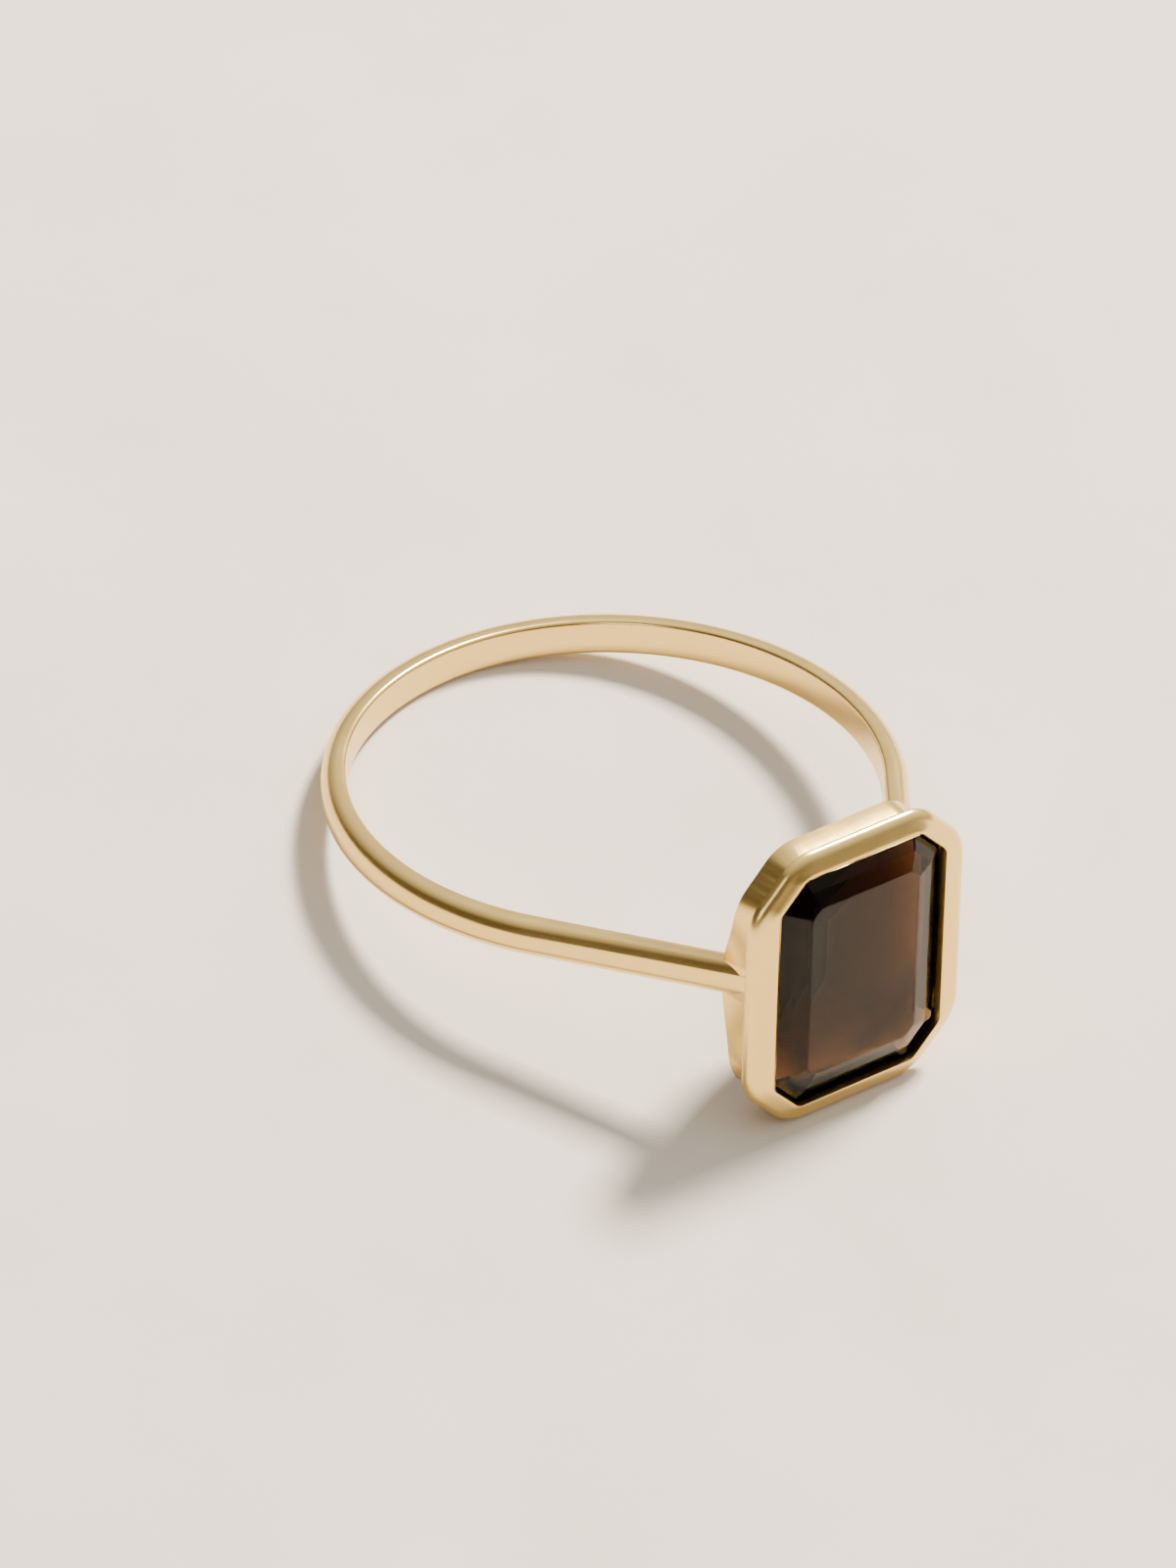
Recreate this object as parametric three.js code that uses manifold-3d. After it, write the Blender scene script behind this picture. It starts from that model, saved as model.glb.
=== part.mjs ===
// Stackable ring, lying on its side.
//
// Two pieces: the gold mount, which is a slim shank soldered to an open-backed bezel cup, and the
// emerald-cut smoky quartz that the cup's rim holds.
//
// The ring is drawn upright in its own frame first: the finger goes through along Z, the stone faces -Y and
// the middle of the finger hole is the origin. The whole ring is then tipped back until it stands on the
// foot wall of the cup and the far side of the shank, as it does on a table. Millimetres, +Z up.
import * as THREE from 'three';
import { mergeVertices } from 'three/addons/utils/BufferGeometryUtils.js';
import Module from 'manifold-3d';

const wasm = await Module();
wasm.setup();

// ---- shank ----
const FINGER_RADIUS = 8.65;           // a 17.3 mm finger, US size 7
const SHOULDER_ANGLE = THREE.MathUtils.degToRad(54.5);   // from the stone's axis to where the shank leaves the circle
const SHOULDER_END_X = 2.9;           // how near the middle the straight shoulders run, inside the cup's walls
const SHANK_WIDTH_BACK = 1.28;        // along the finger
const SHANK_WIDTH_FRONT = 1.2;
const SHANK_THICKNESS = 0.8;          // away from the finger
const SHANK_EDGE_RADIUS = 0.14;       // softened edges beside the finger
const DOME_SHARE = 0.55;              // share of the thickness that the outer dome takes

// ---- bezel cup ----
const CUP_WIDTH = 8.6;                // across the finger, at the widest
const CUP_HEIGHT = 10.15;             // along the finger, at the widest
const CORNER_SOFTENING = 0.6;         // length of each side that an outline corner rounds off
const WIDEST_Y = -12.3;               // the cup flares towards the front as far as here
const LIP_Y = -12.77;                 // front of the lip at the stone
const RIM_Y = -11.25;                 // rear rim away from the shank
const RIM_TAB = 0.85;                 // the side walls reach this much further back where the shank joins
const RIM_TAB_REACH = 3.2;            // and run out into the rim at this height above and below it
const SIDE_TAPER = Math.tan(THREE.MathUtils.degToRad(17));
const OPENING = { width: 6.6, height: 8.65, chamfer: 1.02 };
const RIM_WALL = 0.55;                // wall thickness at the rear rim
const LIP_THICKNESS = 0.2;            // of the lip's edge over the stone
const BEARING = { inset: 0.25, y: -11.56 };   // the shoulder that the stone's back sits on
const INSIDE_SOFTENING = 0.12;
const CUP = { width: CUP_WIDTH, height: CUP_HEIGHT, chamfer: 1.75 };
// From the widest place to the lip, the front edge is rounded over.
const LIP_ROUNDING = [
  { inset: 0.05, y: -12.48 },
  { inset: 0.16, y: -12.61 },
  { inset: 0.36, y: -12.69 },
];

// ---- stone ----
const GIRDLE = { width: 7.0, height: 9.05, chamfer: 1.12 };
const GIRDLE_Y = -12.2;
const GIRDLE_THICKNESS = 0.15;
const SEAT_GAP = 0.1;                 // clearance between stone and metal
const KEEL_CHAMFER = 0.04;
// Steps of the cut from the table to the keel: how far each outline lies inside the girdle's, and how far
// it lies behind the girdle's front edge.
const STONE_STEPS = [
  { name: 'table', inset: 1.36, rise: -0.75 },
  { name: 'upper crown', inset: 0.78, rise: -0.56 },
  { name: 'lower crown', inset: 0.3, rise: -0.3 },
  { name: 'girdle top', inset: 0, rise: 0 },
  { name: 'girdle bottom', inset: 0, rise: GIRDLE_THICKNESS },
  { name: 'first pavilion step', inset: 0.72, rise: 1.15 },
  { name: 'second pavilion step', inset: 1.75, rise: 2.2 },
  { name: 'keel', inset: 3.4, rise: 3.05 },
];

const SHANK_STATIONS = 72;
const SHOULDER_STATIONS = 5;
const DOME_STEPS = 8;
const EDGE_STEPS = 3;
const CORNER_STEPS = 4;
const SIDE_STEPS = 8;
const SLIVER = 0.004;                 // edges shorter than this are closed up after a join

// A closed mesh through rings of points. Each ring has the same number of points. Either the last ring joins
// the first, or both ends are closed by flat fans.
function loft(rings, joinsItself) {
  const count = rings[0].length;
  const points = rings.flat();
  const triangles = [];
  const lastRing = joinsItself ? rings.length : rings.length - 1;
  for (let r = 0; r < lastRing; r += 1) {
    const here = r * count;
    const there = ((r + 1) % rings.length) * count;
    for (let i = 0; i < count; i += 1) {
      const j = (i + 1) % count;
      triangles.push(here + i, here + j, there + j, here + i, there + j, there + i);
    }
  }
  if (!joinsItself) {
    const end = (rings.length - 1) * count;
    for (let i = 1; i < count - 1; i += 1) {
      triangles.push(0, i + 1, i);
      triangles.push(end, end + i, end + i + 1);
    }
  }
  return facingOut(points, triangles);
}

// An indexed geometry from points and triangles, turned so that its faces point out of the solid.
function facingOut(points, triangles) {
  let volume = 0;
  for (let t = 0; t < triangles.length; t += 3) {
    const [a, b, c] = [points[triangles[t]], points[triangles[t + 1]], points[triangles[t + 2]]];
    volume += a.dot(new THREE.Vector3().crossVectors(b, c));
  }
  const geometry = new THREE.BufferGeometry().setFromPoints(points);
  geometry.setIndex(volume > 0 ? triangles : triangles.reverse());
  return geometry;
}

function toSolid(geometry) {
  const merged = mergeVertices(geometry);
  return new wasm.Manifold(new wasm.Mesh({
    numProp: 3,
    vertProperties: new Float32Array(merged.getAttribute('position').array),
    triVerts: new Uint32Array(merged.getIndex().array),
  }));
}

function toGeometry(solid) {
  const mesh = solid.getMesh();
  const geometry = new THREE.BufferGeometry();
  geometry.setAttribute('position', new THREE.BufferAttribute(mesh.vertProperties, 3));
  geometry.setIndex(new THREE.BufferAttribute(mesh.triVerts, 1));
  geometry.computeVertexNormals();
  return geometry;
}

// The shank's section: x is away from the finger, y is along it. Flat against the finger, soft edges, a
// gently domed outside.
function shankSection(width) {
  const half = width / 2;
  const dome = SHANK_THICKNESS * DOME_SHARE;
  const outside = new THREE.EllipseCurve(SHANK_THICKNESS - dome, 0, dome, half, -Math.PI / 2, Math.PI / 2);
  const edge = SHANK_EDGE_RADIUS;
  const upper = new THREE.EllipseCurve(edge, half - edge, edge, edge, Math.PI / 2, Math.PI);
  const lower = new THREE.EllipseCurve(edge, edge - half, edge, edge, Math.PI, Math.PI * 1.5);
  return [
    ...outside.getPoints(DOME_STEPS),
    ...upper.getPoints(EDGE_STEPS),
    ...lower.getPoints(EDGE_STEPS),
  ];
}

// Stations along the shank's inner face, seen along the finger: a straight shoulder out of the cup, the
// circle round the finger, and the other shoulder. Each has its place, its outward direction and how far
// round the back it is (1 at the back, 0 at the cup).
function shankStations() {
  const stations = [];
  const reach = (FINGER_RADIUS * Math.sin(SHOULDER_ANGLE) - SHOULDER_END_X) / Math.cos(SHOULDER_ANGLE);
  const along = new THREE.Vector2(Math.cos(SHOULDER_ANGLE), -Math.sin(SHOULDER_ANGLE));
  const sweep = 2 * (Math.PI - SHOULDER_ANGLE);
  for (let i = 0; i <= SHANK_STATIONS; i += 1) {
    const angle = SHOULDER_ANGLE + sweep * i / SHANK_STATIONS;
    const outward = new THREE.Vector2(-Math.sin(angle), -Math.cos(angle));
    const place = outward.clone().multiplyScalar(FINGER_RADIUS);
    stations.push({ place, outward, back: 0.5 - 0.5 * Math.cos(angle) });
  }
  const [first, last] = [stations[0], stations[SHANK_STATIONS]];
  for (let i = 1; i <= SHOULDER_STATIONS; i += 1) {
    const step = reach * i / SHOULDER_STATIONS;
    const back = first.back * (1 - i / SHOULDER_STATIONS);
    stations.unshift({ place: first.place.clone().addScaledVector(along, step), outward: first.outward, back });
    const mirrored = new THREE.Vector2(-along.x, along.y);
    stations.push({ place: last.place.clone().addScaledVector(mirrored, step), outward: last.outward, back });
  }
  return stations;
}

function shank() {
  const rings = shankStations().map(({ place, outward, back }) => {
    const width = THREE.MathUtils.lerp(SHANK_WIDTH_FRONT, SHANK_WIDTH_BACK, back);
    return shankSection(width).map((p) => new THREE.Vector3(
      place.x + outward.x * p.x, place.y + outward.y * p.x, p.y,
    ));
  });
  return loft(rings, false);
}

// The corners of an octagon with cut-off corners, seen from the front, as x and z.
function octagonCorners({ width, height, chamfer }) {
  const [a, b, c] = [width / 2, height / 2, chamfer];
  return [
    [a, c - b], [a, b - c], [a - c, b], [c - a, b], [-a, b - c], [-a, c - b], [c - a, -b], [a - c, -b],
  ].map(([x, z]) => new THREE.Vector2(x, z));
}

// The same octagon with every corner rounded and every side divided, as many points for any size.
function softOctagon(size, softening) {
  const corners = octagonCorners(size);
  const points = [];
  corners.forEach((corner, i) => {
    const before = corners[(i + corners.length - 1) % corners.length];
    const after = corners[(i + 1) % corners.length];
    const towards = (from, to) => from.clone().add(to.clone().sub(from).setLength(softening));
    const round = new THREE.QuadraticBezierCurve(towards(corner, before), corner, towards(corner, after));
    const side = new THREE.LineCurve(towards(corner, after), towards(after, corner));
    points.push(...round.getPoints(CORNER_STEPS));
    points.push(...side.getPoints(SIDE_STEPS).slice(1, -1));
  });
  return points;
}

function grown({ width, height, chamfer }, by) {
  return { width: width + 2 * by, height: height + 2 * by, chamfer: chamfer + by * (2 - Math.SQRT2) };
}

// A ring of the cup or its hollow that lies flat at one depth.
function flatRing(size, softening, depth) {
  return softOctagon(size, softening).map((p) => new THREE.Vector3(p.x, depth, p.y));
}

// A ring at the rear rim. The walls draw in behind the widest place, the side walls by SIDE_TAPER and the
// foot and top walls by footTaper, and a rounded tab of each side wall meets the shank.
function rimRing(size, softening, footTaper) {
  return softOctagon(size, softening).map((p) => {
    const tab = Math.cos(Math.PI / 2 * Math.min(1, Math.abs(p.y) / RIM_TAB_REACH)) ** 2;
    const depth = RIM_Y + RIM_TAB * tab;
    const behind = depth - WIDEST_Y;
    const narrowed = 1 - 2 * SIDE_TAPER * behind / size.width;
    const shortened = 1 - 2 * footTaper * behind / size.height;
    return new THREE.Vector3(p.x * narrowed, depth, p.y * shortened);
  });
}

// The hollow behind the lip: the seat round the girdle, the bearing under it and the open back. It can be
// made wider all round by a share of the wall.
function seatRings(footTaper, wider = 0) {
  const seat = grown(GIRDLE, SEAT_GAP + wider);
  return [
    flatRing(seat, INSIDE_SOFTENING, GIRDLE_Y - SEAT_GAP),
    flatRing(seat, INSIDE_SOFTENING, GIRDLE_Y + GIRDLE_THICKNESS + SEAT_GAP),
    flatRing(grown(GIRDLE, wider - BEARING.inset), INSIDE_SOFTENING, BEARING.y),
    rimRing(grown(CUP, wider - RIM_WALL), INSIDE_SOFTENING, footTaper),
  ];
}

function bezel(footTaper) {
  const lip = LIP_ROUNDING.map(({ inset, y }) => flatRing(grown(CUP, -inset), CORNER_SOFTENING, y));
  return loft([
    rimRing(CUP, CORNER_SOFTENING, footTaper),
    flatRing(CUP, CORNER_SOFTENING, WIDEST_Y),
    ...lip,
    flatRing(OPENING, INSIDE_SOFTENING, LIP_Y),
    flatRing(OPENING, INSIDE_SOFTENING, LIP_Y + LIP_THICKNESS),
    ...seatRings(footTaper),
  ], true);
}

// The hollow as a solid, a little wider, to cut the shank's ends off inside the cup's walls.
function pocket(footTaper) {
  const rings = seatRings(footTaper, RIM_WALL / 3);
  const behindRim = rings[rings.length - 1].map((p) => p.clone().setY(p.y + RIM_WALL));
  return loft([...rings, behindRim], false);
}

// The shank's ends run into the cup's walls, and all of the gold is one soldered solid.
function goldMount(footTaper) {
  const trimmed = toSolid(shank()).subtract(toSolid(pocket(footTaper)));
  return toGeometry(trimmed.add(toSolid(bezel(footTaper))).simplify(SLIVER));
}

// The emerald cut: plain octagons stepped in from the girdle, joined by flat facets.
function quartz() {
  return loft(STONE_STEPS.map(({ inset, rise }) => {
    const size = grown(GIRDLE, -inset);
    const chamfer = Math.max(size.chamfer, KEEL_CHAMFER);
    return octagonCorners({ ...size, chamfer }).map((p) => new THREE.Vector3(p.x, GIRDLE_Y + rise, p.y));
  }), false);
}

// How far the ring tips back to stand on its cup: a point at the foot wall's widest edge and the far side
// of the shank's dome are then equally low. Found by halving the range.
function restingTilt() {
  const dome = SHANK_THICKNESS * DOME_SHARE;
  const domeCentre = FINGER_RADIUS + SHANK_THICKNESS - dome;
  const reachOfShank = (tilt) => domeCentre * Math.sin(tilt)
    + Math.hypot(dome * Math.sin(tilt), SHANK_WIDTH_BACK / 2 * Math.cos(tilt));
  const reachOfCup = (tilt) => WIDEST_Y * Math.sin(tilt) + CUP_HEIGHT / 2 * Math.cos(tilt);
  let [low, high] = [0, Math.PI / 6];
  for (let i = 0; i < 40; i += 1) {
    const middle = (low + high) / 2;
    if (reachOfShank(middle) < reachOfCup(middle)) {
      low = middle;
    } else {
      high = middle;
    }
  }
  return (low + high) / 2;
}

// Moves the object so that it stands on Z = 0 with the middle of its box over the origin.
function standOnFloor(object) {
  const box = new THREE.Box3().setFromObject(object, true);
  const middle = box.getCenter(new THREE.Vector3());
  object.position.sub(new THREE.Vector3(middle.x, middle.y, box.min.z));
}

const tilt = restingTilt();
const ring = new THREE.Group();

const gold = new THREE.MeshStandardMaterial({ color: 0xe2c386, roughness: 0.25, metalness: 1 });
const mount = new THREE.Mesh(goldMount(Math.tan(tilt)), gold);
mount.name = 'gold_mount';
ring.add(mount);

const smokyQuartz = new THREE.MeshStandardMaterial({ color: 0x3c2a20, roughness: 0.05, metalness: 0 });
const stone = new THREE.Mesh(quartz(), smokyQuartz);
stone.name = 'smoky_quartz';
ring.add(stone);

ring.rotation.x = -tilt;
standOnFloor(ring);

export default ring;
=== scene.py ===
# %% [markdown]
# # A stackable gold ring with a bezel-set smoky quartz
# The ring has two pieces: the gold mount, which is a slim shank soldered to a bezel cup, and the
# emerald-cut stone that the cup's lip holds. The CAD model fixes where they are. Here both are modelled
# again more finely and given their finish. The first step loads the frame and gives a helper that reads a part's
# box.

import math

import bpy
from mathutils import Matrix, Vector


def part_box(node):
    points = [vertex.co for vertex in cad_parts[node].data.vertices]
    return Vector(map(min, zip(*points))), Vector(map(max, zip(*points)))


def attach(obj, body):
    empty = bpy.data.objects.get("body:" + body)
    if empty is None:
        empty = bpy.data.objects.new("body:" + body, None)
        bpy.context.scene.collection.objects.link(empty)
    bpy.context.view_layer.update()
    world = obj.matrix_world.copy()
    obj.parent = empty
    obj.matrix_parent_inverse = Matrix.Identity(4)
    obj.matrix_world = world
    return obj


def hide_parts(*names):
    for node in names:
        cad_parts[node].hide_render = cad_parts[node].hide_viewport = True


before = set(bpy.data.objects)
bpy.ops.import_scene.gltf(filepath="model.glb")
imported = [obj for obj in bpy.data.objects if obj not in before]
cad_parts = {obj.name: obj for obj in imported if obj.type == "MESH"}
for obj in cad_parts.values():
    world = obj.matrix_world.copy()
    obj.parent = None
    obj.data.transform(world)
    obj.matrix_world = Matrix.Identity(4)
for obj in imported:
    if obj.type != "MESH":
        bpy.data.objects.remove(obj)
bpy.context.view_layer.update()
MM = 0.001

# %% [markdown]
# The ring lies tipped back on its cup, and it is far easier to model it upright: the finger goes through
# along Z and the stone faces -Y. So everything is modelled round the middle of the finger hole, and laid
# down when it is finished. The tilt is measured on the CAD stone, whose table is its most forward face, and
# the height of the middle follows from the section of the shank that touches the table behind.

# %% How the ring lies
FINGER_RADIUS = 8.65 * MM
SHANK_WIDTH = 1.28 * MM
SHANK_THICKNESS = 0.8 * MM
DOME_SHARE = 0.55


def table_normal(node):
    """The normal of the face that looks most squarely forward."""
    faces = [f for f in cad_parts[node].data.polygons if f.normal.y < -0.9]
    return max(faces, key=lambda face: face.area).normal.copy()


def support(towards_radius, towards_width):
    """How far the shank's dome reaches from the finger's axis in a tilted direction."""
    dome = SHANK_THICKNESS * DOME_SHARE
    centre = FINGER_RADIUS + SHANK_THICKNESS - dome
    return centre * towards_radius + math.hypot(dome * towards_radius, SHANK_WIDTH / 2 * towards_width)


facing = table_normal("smoky_quartz")
tilt = math.atan2(facing.z, -facing.y)
back_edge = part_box("gold_mount")[1][1]
middle = Vector((0, back_edge - support(math.cos(tilt), math.sin(tilt)), support(math.sin(tilt), math.cos(tilt))))
laid_down = Matrix.Translation(middle) @ Matrix.Rotation(-tilt, 4, "X")
print("tilt", round(math.degrees(tilt), 2), "degrees, middle of the hole", [round(v / MM, 3) for v in middle])

# %% [markdown]
# The helpers below are the few moves that every piece is made with. Operators act on whatever is selected,
# so each helper first clears the selection. Vertices are picked by a test on their place, as a maker would
# box-select them.

# %% Helpers for modelling
def deselect():
    if bpy.context.object and bpy.context.object.mode == "EDIT":
        bpy.ops.object.mode_set(mode="OBJECT")
    bpy.ops.object.select_all(action="DESELECT")


def activate(piece):
    deselect()
    piece.select_set(True)
    bpy.context.view_layer.objects.active = piece


def pick(piece, test, kind="VERT"):
    """In edit mode, selects the vertices whose place passes the test."""
    bpy.ops.object.mode_set(mode="EDIT")
    bpy.ops.mesh.select_mode(type=kind)
    bpy.ops.mesh.select_all(action="DESELECT")
    bpy.ops.object.mode_set(mode="OBJECT")
    for vertex in piece.data.vertices:
        vertex.select = test(vertex.co)
    for edge in piece.data.edges:
        edge.select = all(piece.data.vertices[v].select for v in edge.vertices)
    bpy.ops.object.mode_set(mode="EDIT")


def pick_edges(piece, test):
    """In edit mode, selects the edges that pass the test."""
    bpy.ops.object.mode_set(mode="EDIT")
    bpy.ops.mesh.select_mode(type="EDGE")
    bpy.ops.mesh.select_all(action="DESELECT")
    bpy.ops.object.mode_set(mode="OBJECT")
    for edge in piece.data.edges:
        edge.select = test(edge)
    bpy.ops.object.mode_set(mode="EDIT")


def join(pieces, name):
    activate(pieces[0])
    for piece in pieces:
        piece.select_set(True)
    bpy.ops.object.join()
    pieces[0].name = name
    return pieces[0]


def apply_modifier(piece, kind, **settings):
    activate(piece)
    modifier = piece.modifiers.new(kind.title(), kind)
    for setting, value in settings.items():
        setattr(modifier, setting, value)
    bpy.ops.object.modifier_apply(modifier=modifier.name)


def clean(piece):
    """Merges doubles and turns every face outwards."""
    activate(piece)
    bpy.ops.object.mode_set(mode="EDIT")
    bpy.ops.mesh.select_all(action="SELECT")
    bpy.ops.mesh.remove_doubles(threshold=0.001 * MM)
    bpy.ops.mesh.normals_make_consistent(inside=False)
    bpy.ops.object.mode_set(mode="OBJECT")


# %% [markdown]
# The shank is a gold wire of one section, bent round the finger. A lathe-like spin makes the round stretch
# exactly, and its two open ends are then extruded straight on: on this ring the shoulders leave the circle
# and run straight to the cup. The section is a small rectangle whose inner corners are broken a little and
# whose outer corners are rounded right over, so the outside is gently domed.

# %% The shank
SHOULDER_ANGLE = math.radians(54.5)
SHOULDER_END_X = 2.9 * MM
INNER_EDGE = 0.14 * MM
OUTER_EDGE = 0.5 * MM
SPIN_STEPS = 180


def section(name):
    """The section at the left shoulder, standing on the finger's circle."""
    outward = Vector((-math.sin(SHOULDER_ANGLE), -math.cos(SHOULDER_ANGLE), 0))
    finger = Vector((0, 0, 1))
    turn = Matrix((outward, finger, outward.cross(finger))).transposed()
    deselect()
    bpy.ops.mesh.primitive_plane_add(size=1, location=outward * (FINGER_RADIUS + SHANK_THICKNESS / 2),
                                     rotation=turn.to_euler())
    piece = bpy.context.object
    piece.name = name
    piece.scale = (SHANK_THICKNESS, SHANK_WIDTH, 1)
    bpy.ops.object.transform_apply(location=True, rotation=True, scale=True)
    between = FINGER_RADIUS + SHANK_THICKNESS / 2
    pick(piece, lambda place: place.dot(outward) > between)
    bpy.ops.mesh.bevel(offset=OUTER_EDGE, segments=10, affect="VERTICES")
    pick(piece, lambda place: place.dot(outward) < FINGER_RADIUS + INNER_EDGE / 2)
    bpy.ops.mesh.bevel(offset=INNER_EDGE, segments=5, affect="VERTICES")
    bpy.ops.mesh.select_all(action="SELECT")
    bpy.ops.mesh.delete(type="ONLY_FACE")
    return piece


def make_shank():
    piece = section("shank")
    bpy.ops.mesh.select_all(action="SELECT")
    bpy.ops.mesh.spin(steps=SPIN_STEPS, angle=2 * (math.pi - SHOULDER_ANGLE), center=(0, 0, 0), axis=(0, 0, 1))
    reach = (FINGER_RADIUS * math.sin(SHOULDER_ANGLE) - SHOULDER_END_X) / math.cos(SHOULDER_ANGLE)
    for side in (-1, 1):
        outward = Vector((side * math.sin(SHOULDER_ANGLE), -math.cos(SHOULDER_ANGLE), 0))
        along = Vector((-side * math.cos(SHOULDER_ANGLE), -math.sin(SHOULDER_ANGLE), 0))
        pick(piece, lambda place: abs(place.dot(along)) < 0.001 * MM and place.dot(outward) > 0)
        bpy.ops.mesh.extrude_region_move(TRANSFORM_OT_translate={"value": along * reach})
        bpy.ops.mesh.edge_face_add()
    clean(piece)
    return piece


shank = make_shank()
print("shank:", len(shank.data.vertices), "vertices")

# %% [markdown]
# The cup is a bent and soldered strip: an eight-sided wall that flares to the front, rounded over and
# burnished down on to the stone. It could be a solid cut out by booleans, but a smith thinks of it as a
# sequence of outlines, and so does this cell. Each outline is a flat plane whose corners are cut off and
# softened by a vertex bevel, all have as many points, and bridging each to the next gives the wall.

# %% Outlines of the cup
CUP = (8.6 * MM, 10.15 * MM, 1.75 * MM)
OPENING = (6.6 * MM, 8.65 * MM, 1.02 * MM)
GIRDLE = (7.0 * MM, 9.05 * MM, 1.12 * MM)
OUTSIDE_SOFTENING = 0.6 * MM
INSIDE_SOFTENING = 0.12 * MM
CORNER_STEPS = 6
SIDE_CUTS = 15
SHORTEST_SIDE = 0.3 * MM


def grown(size, by):
    """The outline offset outwards; a cut-off corner grows less than the sides do."""
    width, height, chamfer = size
    return width + 2 * by, height + 2 * by, chamfer + by * (2 - math.sqrt(2))


def outline(size, depth, softening=0):
    """One eight-sided wire loop facing forward at that depth, with soft corners and divided sides."""
    width, height, chamfer = size
    deselect()
    bpy.ops.mesh.primitive_plane_add(size=1, location=(0, depth, 0), rotation=(math.pi / 2, 0, 0))
    piece = bpy.context.object
    piece.scale = (width, height, 1)
    bpy.ops.object.transform_apply(location=True, rotation=True, scale=True)
    bpy.ops.object.mode_set(mode="EDIT")
    bpy.ops.mesh.select_all(action="SELECT")
    bpy.ops.mesh.bevel(offset=chamfer, segments=1, affect="VERTICES")
    if softening:
        bpy.ops.mesh.bevel(offset=softening, segments=CORNER_STEPS, affect="VERTICES")
    bpy.ops.mesh.select_all(action="SELECT")
    bpy.ops.mesh.delete(type="ONLY_FACE")
    if softening:
        def is_side(edge):
            start, end = (piece.data.vertices[v].co for v in edge.vertices)
            return (start - end).length > SHORTEST_SIDE

        pick_edges(piece, is_side)
        bpy.ops.mesh.subdivide(number_cuts=SIDE_CUTS)
    bpy.ops.object.mode_set(mode="OBJECT")
    return piece


def bridge(loops, name, closes):
    """Joins loops in their order by strips of faces, back to the first one or with both ends filled."""
    counts = [len(loop.data.vertices) for loop in loops]
    starts = [sum(counts[:i]) for i in range(len(loops))]
    piece = join(loops, name)
    pairs = [(i, i + 1) for i in range(len(loops) - 1)]
    if closes:
        pairs.append((len(loops) - 1, 0))

    def select_loops(*chosen):
        bpy.ops.object.mode_set(mode="EDIT")
        bpy.ops.mesh.select_mode(type="EDGE")
        bpy.ops.mesh.select_all(action="DESELECT")
        bpy.ops.object.mode_set(mode="OBJECT")
        members = [set(range(starts[i], starts[i] + counts[i])) for i in chosen]
        for edge in piece.data.edges:
            edge.select = any(set(edge.vertices) <= member for member in members)
        bpy.ops.object.mode_set(mode="EDIT")

    for pair in pairs:
        select_loops(*pair)
        bpy.ops.mesh.bridge_edge_loops()
    if not closes:
        for end in (0, len(loops) - 1):
            select_loops(end)
            bpy.ops.mesh.edge_face_add()
    clean(piece)
    return piece


print("girdle grown by a tenth of a millimetre:", [round(v / MM, 3) for v in grown(GIRDLE, 0.1 * MM)])

# %% [markdown]
# Behind its widest place the wall draws in, and at the rear it is sawn to a rim. Where the shank joins, the
# side walls keep a rounded tab that reaches further back to meet it. The rim's outline is therefore not
# flat: its points on the two sides are moved back row by row, and inwards along the taper as they go.

# %% The rear rim
WIDEST_Y = -12.3 * MM
RIM_Y = -11.25 * MM
TAB = 0.85 * MM
TAB_REACH = 3.2 * MM
SIDE_TAPER = math.tan(math.radians(17))
FOOT_TAPER = math.tan(tilt)
RIM_WALL = 0.55 * MM


def rim_outline(size, softening):
    behind = RIM_Y - WIDEST_Y
    width, height, chamfer = size
    piece = outline(size, RIM_Y, softening)
    activate(piece)
    bpy.ops.object.mode_set(mode="EDIT")
    bpy.ops.mesh.select_all(action="SELECT")
    bpy.ops.transform.resize(value=(1 - 2 * SIDE_TAPER * behind / width, 1, 1 - 2 * FOOT_TAPER * behind / height),
                             center_override=(0, RIM_Y, 0))
    bpy.ops.object.mode_set(mode="OBJECT")
    rows = sorted({round(vertex.co.z / MM, 4) for vertex in piece.data.vertices})
    for row in rows:
        share = math.cos(math.pi / 2 * min(1, abs(row * MM) / TAB_REACH)) ** 2
        for side in (-1, 1):
            move = Vector((-side * SIDE_TAPER, 1, 0)) * TAB * share
            if share > 0.001:
                pick(piece, lambda place: abs(place.z / MM - row) < 0.001 and place.x * side > 0)
                bpy.ops.transform.translate(value=move)
                bpy.ops.object.mode_set(mode="OBJECT")
    return piece


# %% [markdown]
# Now the cup itself. Going round its section: outside from the rear rim to the widest place, over the
# rounded front edge, across the lip, under it, past the seat that the girdle sits in and the bearing behind
# it, and back to the rim. The lip's edge was pushed over the stone by hand, so it is not quite straight: a
# little seeded wander along that one loop gives it the worked look.

# %% The bezel cup
LIP_Y = -12.77 * MM
GIRDLE_Y = -12.2 * MM
GIRDLE_THICKNESS = 0.15 * MM
SEAT_GAP = 0.06 * MM
FRONT_ROUNDING = 0.42 * MM
ROUNDING_TURN = math.radians(75)
ROUNDING_STEPS = 7
FACE_SHARES = (0.35, 0.7, 0.93)
FACE_BULGE = 0.012 * MM
LIP_WANDER = 0.02 * MM


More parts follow.
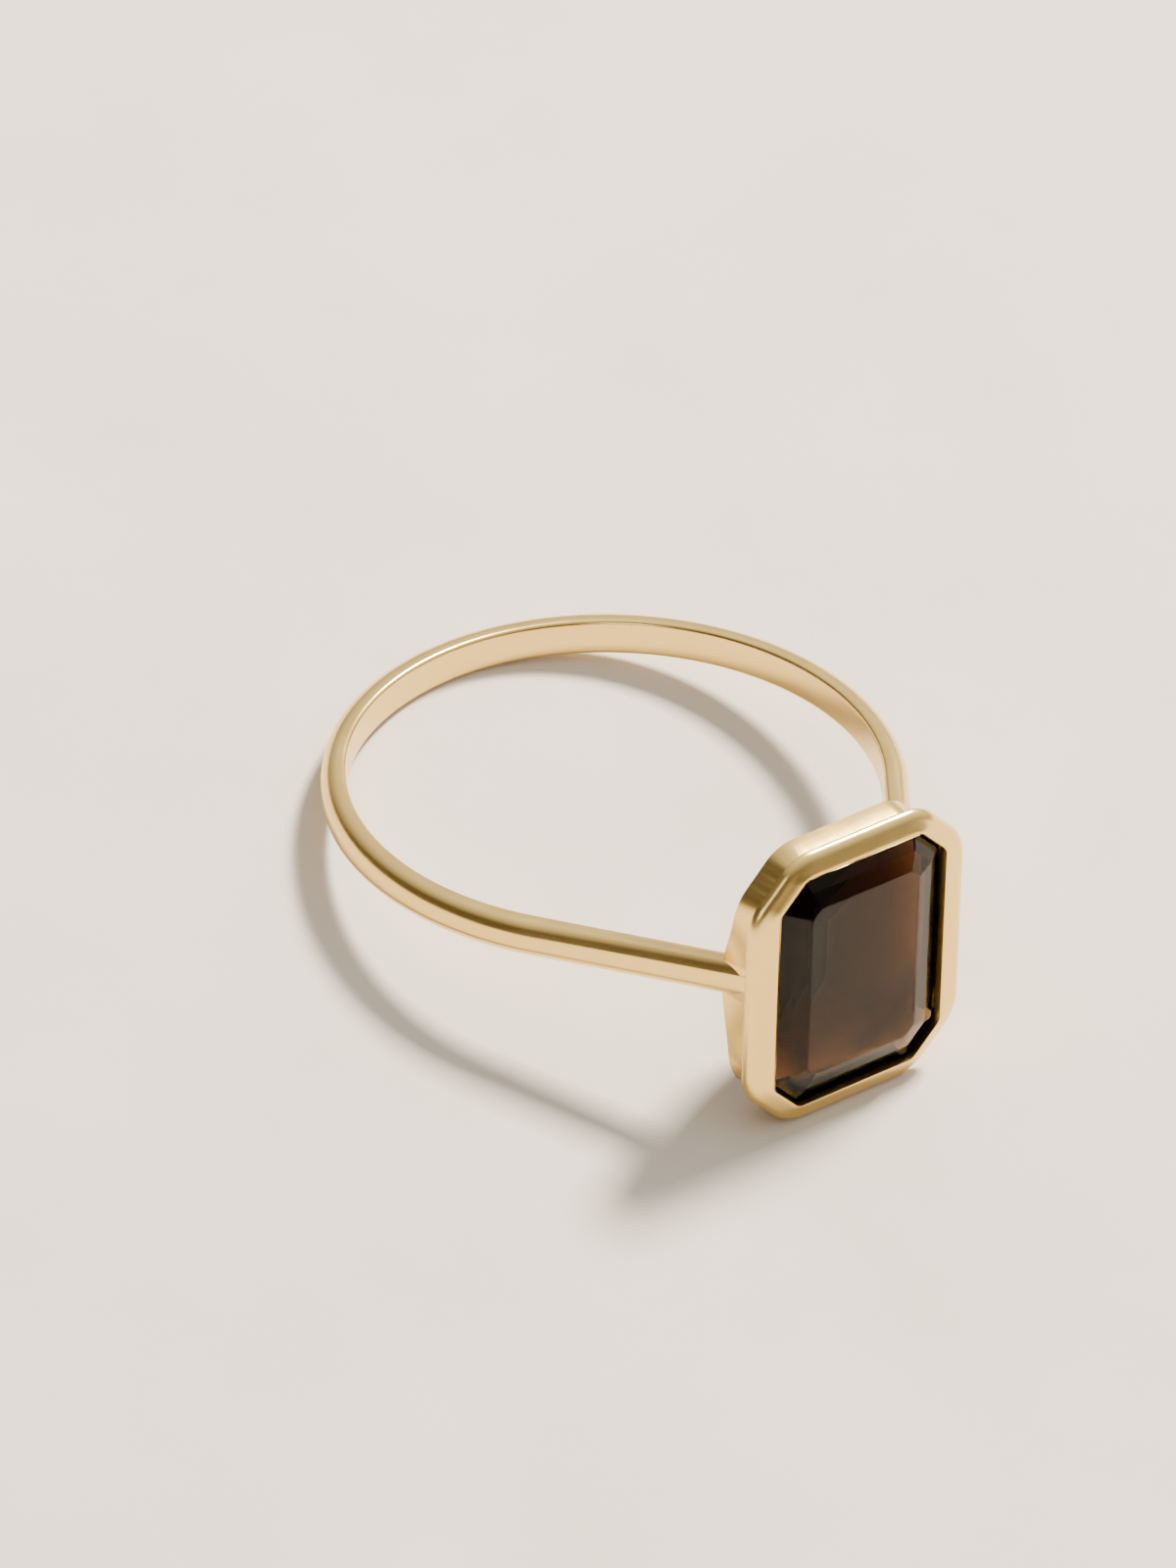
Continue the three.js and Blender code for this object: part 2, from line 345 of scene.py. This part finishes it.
def front_edge():
    """Outlines that round the front edge over from the widest place, then cross the lip's broad face."""
    loops = []
    for step in range(ROUNDING_STEPS + 1):
        turn = ROUNDING_TURN * step / ROUNDING_STEPS
        inset = FRONT_ROUNDING * (1 - math.cos(turn))
        depth = WIDEST_Y - 0.8 * FRONT_ROUNDING * math.sin(turn)
        loops.append(outline(grown(CUP, -inset), depth, OUTSIDE_SOFTENING))
    for share in FACE_SHARES:
        size = [start + (end - start) * share for start, end in zip(grown(CUP, -inset), OPENING)]
        forward = depth + (LIP_Y - depth) * share - 4 * FACE_BULGE * share * (1 - share)
        softening = OUTSIDE_SOFTENING + (INSIDE_SOFTENING - OUTSIDE_SOFTENING) * share
        loops.append(outline(size, forward, softening))
    return loops


def seat_outlines(wider=0):
    seat = grown(GIRDLE, SEAT_GAP + wider)
    return [
        outline(seat, GIRDLE_Y - SEAT_GAP, INSIDE_SOFTENING),
        outline(seat, GIRDLE_Y + GIRDLE_THICKNESS + SEAT_GAP, INSIDE_SOFTENING),
        outline(grown(GIRDLE, wider - 0.25 * MM), -11.56 * MM, INSIDE_SOFTENING),
        rim_outline(grown(CUP, wider - RIM_WALL), INSIDE_SOFTENING),
    ]


def make_cup():
    lip = outline(OPENING, LIP_Y, INSIDE_SOFTENING)
    activate(lip)
    bpy.ops.object.mode_set(mode="EDIT")
    bpy.ops.mesh.select_all(action="SELECT")
    bpy.ops.transform.vertex_random(offset=LIP_WANDER, seed=4)
    bpy.ops.object.mode_set(mode="OBJECT")
    under = outline(grown(OPENING, -0.03 * MM), LIP_Y + 0.2 * MM, INSIDE_SOFTENING)
    loops = [rim_outline(CUP, OUTSIDE_SOFTENING)] + front_edge() + [lip, under] + seat_outlines()
    return bridge(loops, "cup", closes=True)


cup = make_cup()
print("cup:", len(cup.data.polygons), "faces")

# %% [markdown]
# Shank and cup become one soldered solid. The shank's ends are first cut off inside the cup's walls with a
# plug of the hollow's shape, so that nothing pokes in behind the stone, and a union then fuses the two. A
# very small bevel breaks the sharp edges, because polished gold never has a truly sharp one and it is the
# broken edge that catches the light.

# %% The gold mount
EDGE_BREAK = 0.035 * MM


def boolean(piece, tool, operation):
    apply_modifier(piece, "BOOLEAN", object=tool, operation=operation, solver="EXACT")
    bpy.data.objects.remove(tool)


def make_mount():
    plug = seat_outlines(wider=RIM_WALL / 3)
    plug.append(rim_outline(grown(CUP, RIM_WALL / 3 - RIM_WALL), INSIDE_SOFTENING))
    activate(plug[-1])
    bpy.ops.transform.translate(value=(0, 0.5 * MM, 0))
    bpy.ops.object.transform_apply(location=True, rotation=False, scale=False)
    boolean(shank, bridge(plug, "plug", closes=False), "DIFFERENCE")
    boolean(cup, shank, "UNION")
    clean(cup)
    apply_modifier(cup, "BEVEL", width=EDGE_BREAK, segments=2, limit_method="ANGLE",
                   angle_limit=math.radians(40))
    cup.name = "bezel_mount"
    return cup


mount = make_mount()
print("gold mount:", len(mount.data.polygons), "faces")

# %% [markdown]
# The stone is an emerald cut: eight-sided steps that climb from the girdle to a large table and run down
# behind it to a short keel. Every step is an outline with sharp corners, and bridging them gives truly flat
# facets, which is what makes a step cut read as long mirrors. The facet edges get a hair-thin bevel.

# %% The smoky quartz
STONE_STEPS = [
    {"step": "table", "inset": 1.36, "behind": -0.75},
    {"step": "upper crown", "inset": 0.78, "behind": -0.56},
    {"step": "lower crown", "inset": 0.30, "behind": -0.30},
    {"step": "girdle front", "inset": 0.0, "behind": 0.0},
    {"step": "girdle back", "inset": 0.0, "behind": 0.15},
    {"step": "first pavilion", "inset": 0.72, "behind": 1.15},
    {"step": "second pavilion", "inset": 1.75, "behind": 2.2},
    {"step": "keel", "inset": 3.4, "behind": 3.05},
]
KEEL_CHAMFER = 0.04 * MM
FACET_EDGE = 0.012 * MM


def make_stone():
    loops = []
    for step in STONE_STEPS:
        width, height, chamfer = grown(GIRDLE, -step["inset"] * MM)
        loops.append(outline((width, height, max(chamfer, KEEL_CHAMFER)), GIRDLE_Y + step["behind"] * MM))
    piece = bridge(loops, "emerald_cut", closes=False)
    apply_modifier(piece, "BEVEL", width=FACET_EDGE, segments=1, limit_method="ANGLE",
                   angle_limit=math.radians(5))
    return piece


stone = make_stone()
print("stone:", len(stone.data.polygons), "facets with their edges")

# %% [markdown]
# Both pieces are laid down by one and the same move and that move is written into their meshes, so their
# objects sit at the origin as the CAD nodes do. Curved gold is shaded smooth up to its real edges, and the
# facets stay flat.

# %% Laying the ring down
def lay_down(piece):
    activate(piece)
    piece.matrix_world = laid_down
    bpy.ops.object.transform_apply(location=True, rotation=True, scale=True)


for piece in (mount, stone):
    lay_down(piece)
activate(mount)
bpy.ops.object.shade_smooth_by_angle(angle=math.radians(30))
activate(stone)
bpy.ops.object.shade_flat()
print("lowest point of the gold in mm:", round(min(v.co.z for v in mount.data.vertices) / MM, 4))

# %% [markdown]
# Materials are written as small sums on node sockets. The class wraps one socket: arithmetic on it adds the
# Math node that does it, numbers alone never become nodes, and every other node comes from one method that
# takes the node's type, its settings and its inputs.

# %% Sockets as values
class Value:
    def __init__(self, tree, socket):
        self.tree = tree
        self.socket = socket

    def node(self, kind, settings=None, output=0, **inputs):
        made = self.tree.nodes.new(kind)
        for setting, value in (settings or {}).items():
            if setting == "stops":
                ramp = made.color_ramp
                while len(ramp.elements) < len(value):
                    ramp.elements.new(1.0)
                for element, (position, colour) in zip(ramp.elements, value):
                    element.position = position
                    element.color = colour
            else:
                setattr(made, setting, value)
        for name, value in inputs.items():
            key = int(name[1:]) if name[0] == "_" else name.replace("_", " ")
            if isinstance(value, Value):
                self.tree.links.new(value.socket, made.inputs[key])
            else:
                made.inputs[key].default_value = value
        return Value(self.tree, made.outputs[output])

    def maths(self, operation, first, second):
        return self.node("ShaderNodeMath", {"operation": operation}, _0=first, _1=second)

    def __add__(self, other):
        return self.maths("ADD", self, other)

    def __radd__(self, other):
        return self.maths("ADD", other, self)

    def __sub__(self, other):
        return self.maths("SUBTRACT", self, other)

    def __rsub__(self, other):
        return self.maths("SUBTRACT", other, self)

    def __mul__(self, other):
        return self.maths("MULTIPLY", self, other)

    def __rmul__(self, other):
        return self.maths("MULTIPLY", other, self)

    def blend(self, dark, light):
        """A colour that goes from dark to light as this value goes from 0 to 1."""
        settings = {"data_type": "RGBA"}
        return self.node("ShaderNodeMix", settings, output=2, _0=self, _6=dark, _7=light)


def new_material(name):
    """A material with its surface shader and, as a value, the place on the object."""
    material = bpy.data.materials.new(name)
    material.use_nodes = True
    tree = material.node_tree
    shader = tree.nodes["Principled BSDF"]
    coordinates = tree.nodes.new("ShaderNodeTexCoord")
    return material, shader, Value(tree, coordinates.outputs["Object"])


def connect(value, shader, socket):
    value.tree.links.new(value.socket, shader.inputs[socket])


def noise(place, size, detail=2.0, stretch=(1, 1, 1)):
    """Noise whose blotches are about size metres across, longer where stretch is more than one."""
    scaled = place.node("ShaderNodeMapping", {"vector_type": "TEXTURE"}, Vector=place,
                        Rotation=(-tilt, 0, 0), Scale=[size * s for s in stretch])
    return place.node("ShaderNodeTexNoise", Vector=scaled, Scale=1.0, Detail=detail, Roughness=0.55)


# %% [markdown]
# Pale 14 carat gold with a soft satin polish. Seen close, such a surface is a mirror that has been rubbed
# in one direction: broad soft reflections, a very fine grain that runs along the band, a few wider hairline
# scratches from wear, and slightly duller patches where fingers touch it. The colour hardly varies; the
# roughness and the bump carry the look.

# %% The gold's finish
GOLD = (0.92, 0.67, 0.25, 1)
GOLD_DEEP = (0.86, 0.58, 0.17, 1)


def gold_finish():
    material, shader, place = new_material("champagne gold")
    patches = noise(place, 2.4 * MM, detail=3)
    grain = noise(place, 0.045 * MM, detail=2, stretch=(18, 18, 1))
    hairlines = noise(place, 0.12 * MM, detail=4, stretch=(22, 3, 1))
    connect((patches * 0.6 + grain * 0.4).blend(GOLD_DEEP, GOLD), shader, "Base Color")
    connect(0.13 + patches * 0.10 + grain * 0.09, shader, "Roughness")
    relief = grain * 0.6 + hairlines * 0.4
    bump = place.node("ShaderNodeBump", Height=relief, Strength=0.15, Distance=0.003 * MM)
    connect(bump, shader, "Normal")
    shader.inputs["Metallic"].default_value = 1.0
    return material


# %% [markdown]
# Smoky quartz is clear glass-like stone with a brown body colour that deepens along the light's path: thin
# places glow amber and thick ones go almost black. Painting that on the surface would be wrong from every
# other side, so the colour sits in the volume, and the facets are plain polished surfaces with the faintest
# trace of handling.

# %% The quartz's finish
SMOKE = (0.56, 0.43, 0.25, 1)
SMOKE_DENSITY = 3.0 / MM


def quartz_finish():
    material, shader, place = new_material("smoky quartz")
    handling = noise(place, 1.2 * MM, detail=4)
    connect(handling.blend((0.96, 0.93, 0.90, 1), (1, 1, 1, 1)), shader, "Base Color")
    connect(0.004 + handling * 0.012, shader, "Roughness")
    shader.inputs["Transmission Weight"].default_value = 1.0
    shader.inputs["IOR"].default_value = 1.55
    shader.inputs["Specular Tint"].default_value = (0.34, 0.29, 0.25, 1)
    absorption = place.node("ShaderNodeVolumeAbsorption", Color=SMOKE, Density=SMOKE_DENSITY)
    tree = material.node_tree
    tree.links.new(absorption.socket, tree.nodes["Material Output"].inputs["Volume"])
    return material


for piece, finish in ((mount, gold_finish()), (stone, quartz_finish())):
    piece.data.materials.clear()
    piece.data.materials.append(finish)
    print(piece.name, "has the finish", finish.name)

# %% [markdown]
# The pieces take the places of the CAD solids and ride on the part's only body.

# %% Into the frame
for piece, node, slot in ((mount, "gold_mount", "gold"), (stone, "smoky_quartz", "quartz")):
    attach(piece, "root")
    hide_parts(node)

# %% [markdown]
# The ring lies on a plain pale floor. It is fine-grained and matt, with nothing on it that draws the eye.

# %% The floor
def make_floor():
    deselect()
    bpy.ops.mesh.primitive_plane_add(size=2.4, location=(0, 0, 0))
    floor = bpy.context.object
    floor.name = "floor"
    material, shader, place = new_material("pale stone")
    mottle = noise(place, 9 * MM, detail=5)
    connect(mottle.blend((0.62, 0.565, 0.49, 1), (0.75, 0.70, 0.63, 1)), shader, "Base Color")
    shader.inputs["Roughness"].default_value = 0.75
    floor.data.materials.append(material)
    return floor


floor = make_floor()

# %% [markdown]
# The camera keeps its angle to the ring itself: it looks a little down into the finger hole, with the
# stone turned off to the right. Because the ring lies tipped back, that puts the camera somewhat higher
# over the floor. It stands far off with a long lens, as for jewellery.

# %% The camera
AZIMUTH = math.radians(-38.3)
ELEVATION = math.radians(34.0)
ROLL = math.radians(1.6)
DISTANCE = 480 * MM
AIM = Vector((-0.66, 0.55, 0.04)) * MM
FRAME_WIDTH = 36.0
LENS = 457.0


def make_camera():
    back = Vector((math.sin(AZIMUTH) * math.cos(ELEVATION), -math.cos(AZIMUTH) * math.cos(ELEVATION),
                   math.sin(ELEVATION)))
    turn = back.to_track_quat("Z", "Y").to_matrix().to_4x4()
    data = bpy.data.cameras.new("camera")
    camera = bpy.data.objects.new("camera", data)
    bpy.context.scene.collection.objects.link(camera)
    upright = Matrix.Translation(AIM + back * DISTANCE) @ turn @ Matrix.Rotation(ROLL, 4, "Z")
    camera.matrix_world = laid_down @ upright
    data.sensor_fit = "HORIZONTAL"
    data.sensor_width = FRAME_WIDTH
    data.lens = LENS
    bpy.context.scene.camera = camera
    return camera


camera = make_camera()
print("camera height over the floor in mm:", round(camera.matrix_world.translation.z / MM))

# %% [markdown]
# Soft studio light: one big warm panel from behind on the right, which draws the long highlights on the
# shank and throws the shadow to the front left, a weaker cool one from the left front, and a pale room.

# %% The light
def panel(name, direction, distance, size, power, colour):
    """A square area light that looks at the ring from that direction."""
    data = bpy.data.lights.new(name, "AREA")
    data.shape = "SQUARE"
    data.size = size
    data.energy = power
    data.color = colour
    lamp = bpy.data.objects.new(name, data)
    bpy.context.scene.collection.objects.link(lamp)
    towards = Vector(direction).normalized()
    lamp.location = middle + towards * distance
    lamp.rotation_euler = towards.to_track_quat("Z", "Y").to_euler()


def make_room():
    """A pale room that is brightest towards the key panel and dim behind the opposite side."""
    world = bpy.data.worlds.new("room")
    bpy.context.scene.world = world
    world.use_nodes = True
    tree = world.node_tree
    direction = Value(tree, tree.nodes.new("ShaderNodeTexCoord").outputs["Generated"])
    bright = direction.node("ShaderNodeVectorMath", {"operation": "DOT_PRODUCT"}, output=1,
                            _0=direction, _1=Vector((0.55, 0.15, 0.82)).normalized())
    level = direction.node("ShaderNodeMapRange", Value=bright, _1=0.15, _2=1.0)
    colour = level.blend((0.13, 0.11, 0.085, 1), (1.35, 1.29, 1.19, 1))
    background = tree.nodes["Background"]
    tree.links.new(colour.socket, background.inputs["Color"])
    background.inputs["Strength"].default_value = 1.1


def make_light():
    panel("key", (0.62, 0.25, 0.80), 0.8, 0.16, 24.0, (1.0, 0.90, 0.77))
    panel("fill", (-0.75, -0.75, 0.55), 0.9, 0.4, 1.2, (0.95, 0.97, 1.0))
    make_room()


make_light()

# %% [markdown]
# Last, the selection is cleared.

# %% Clearing the selection
deselect()
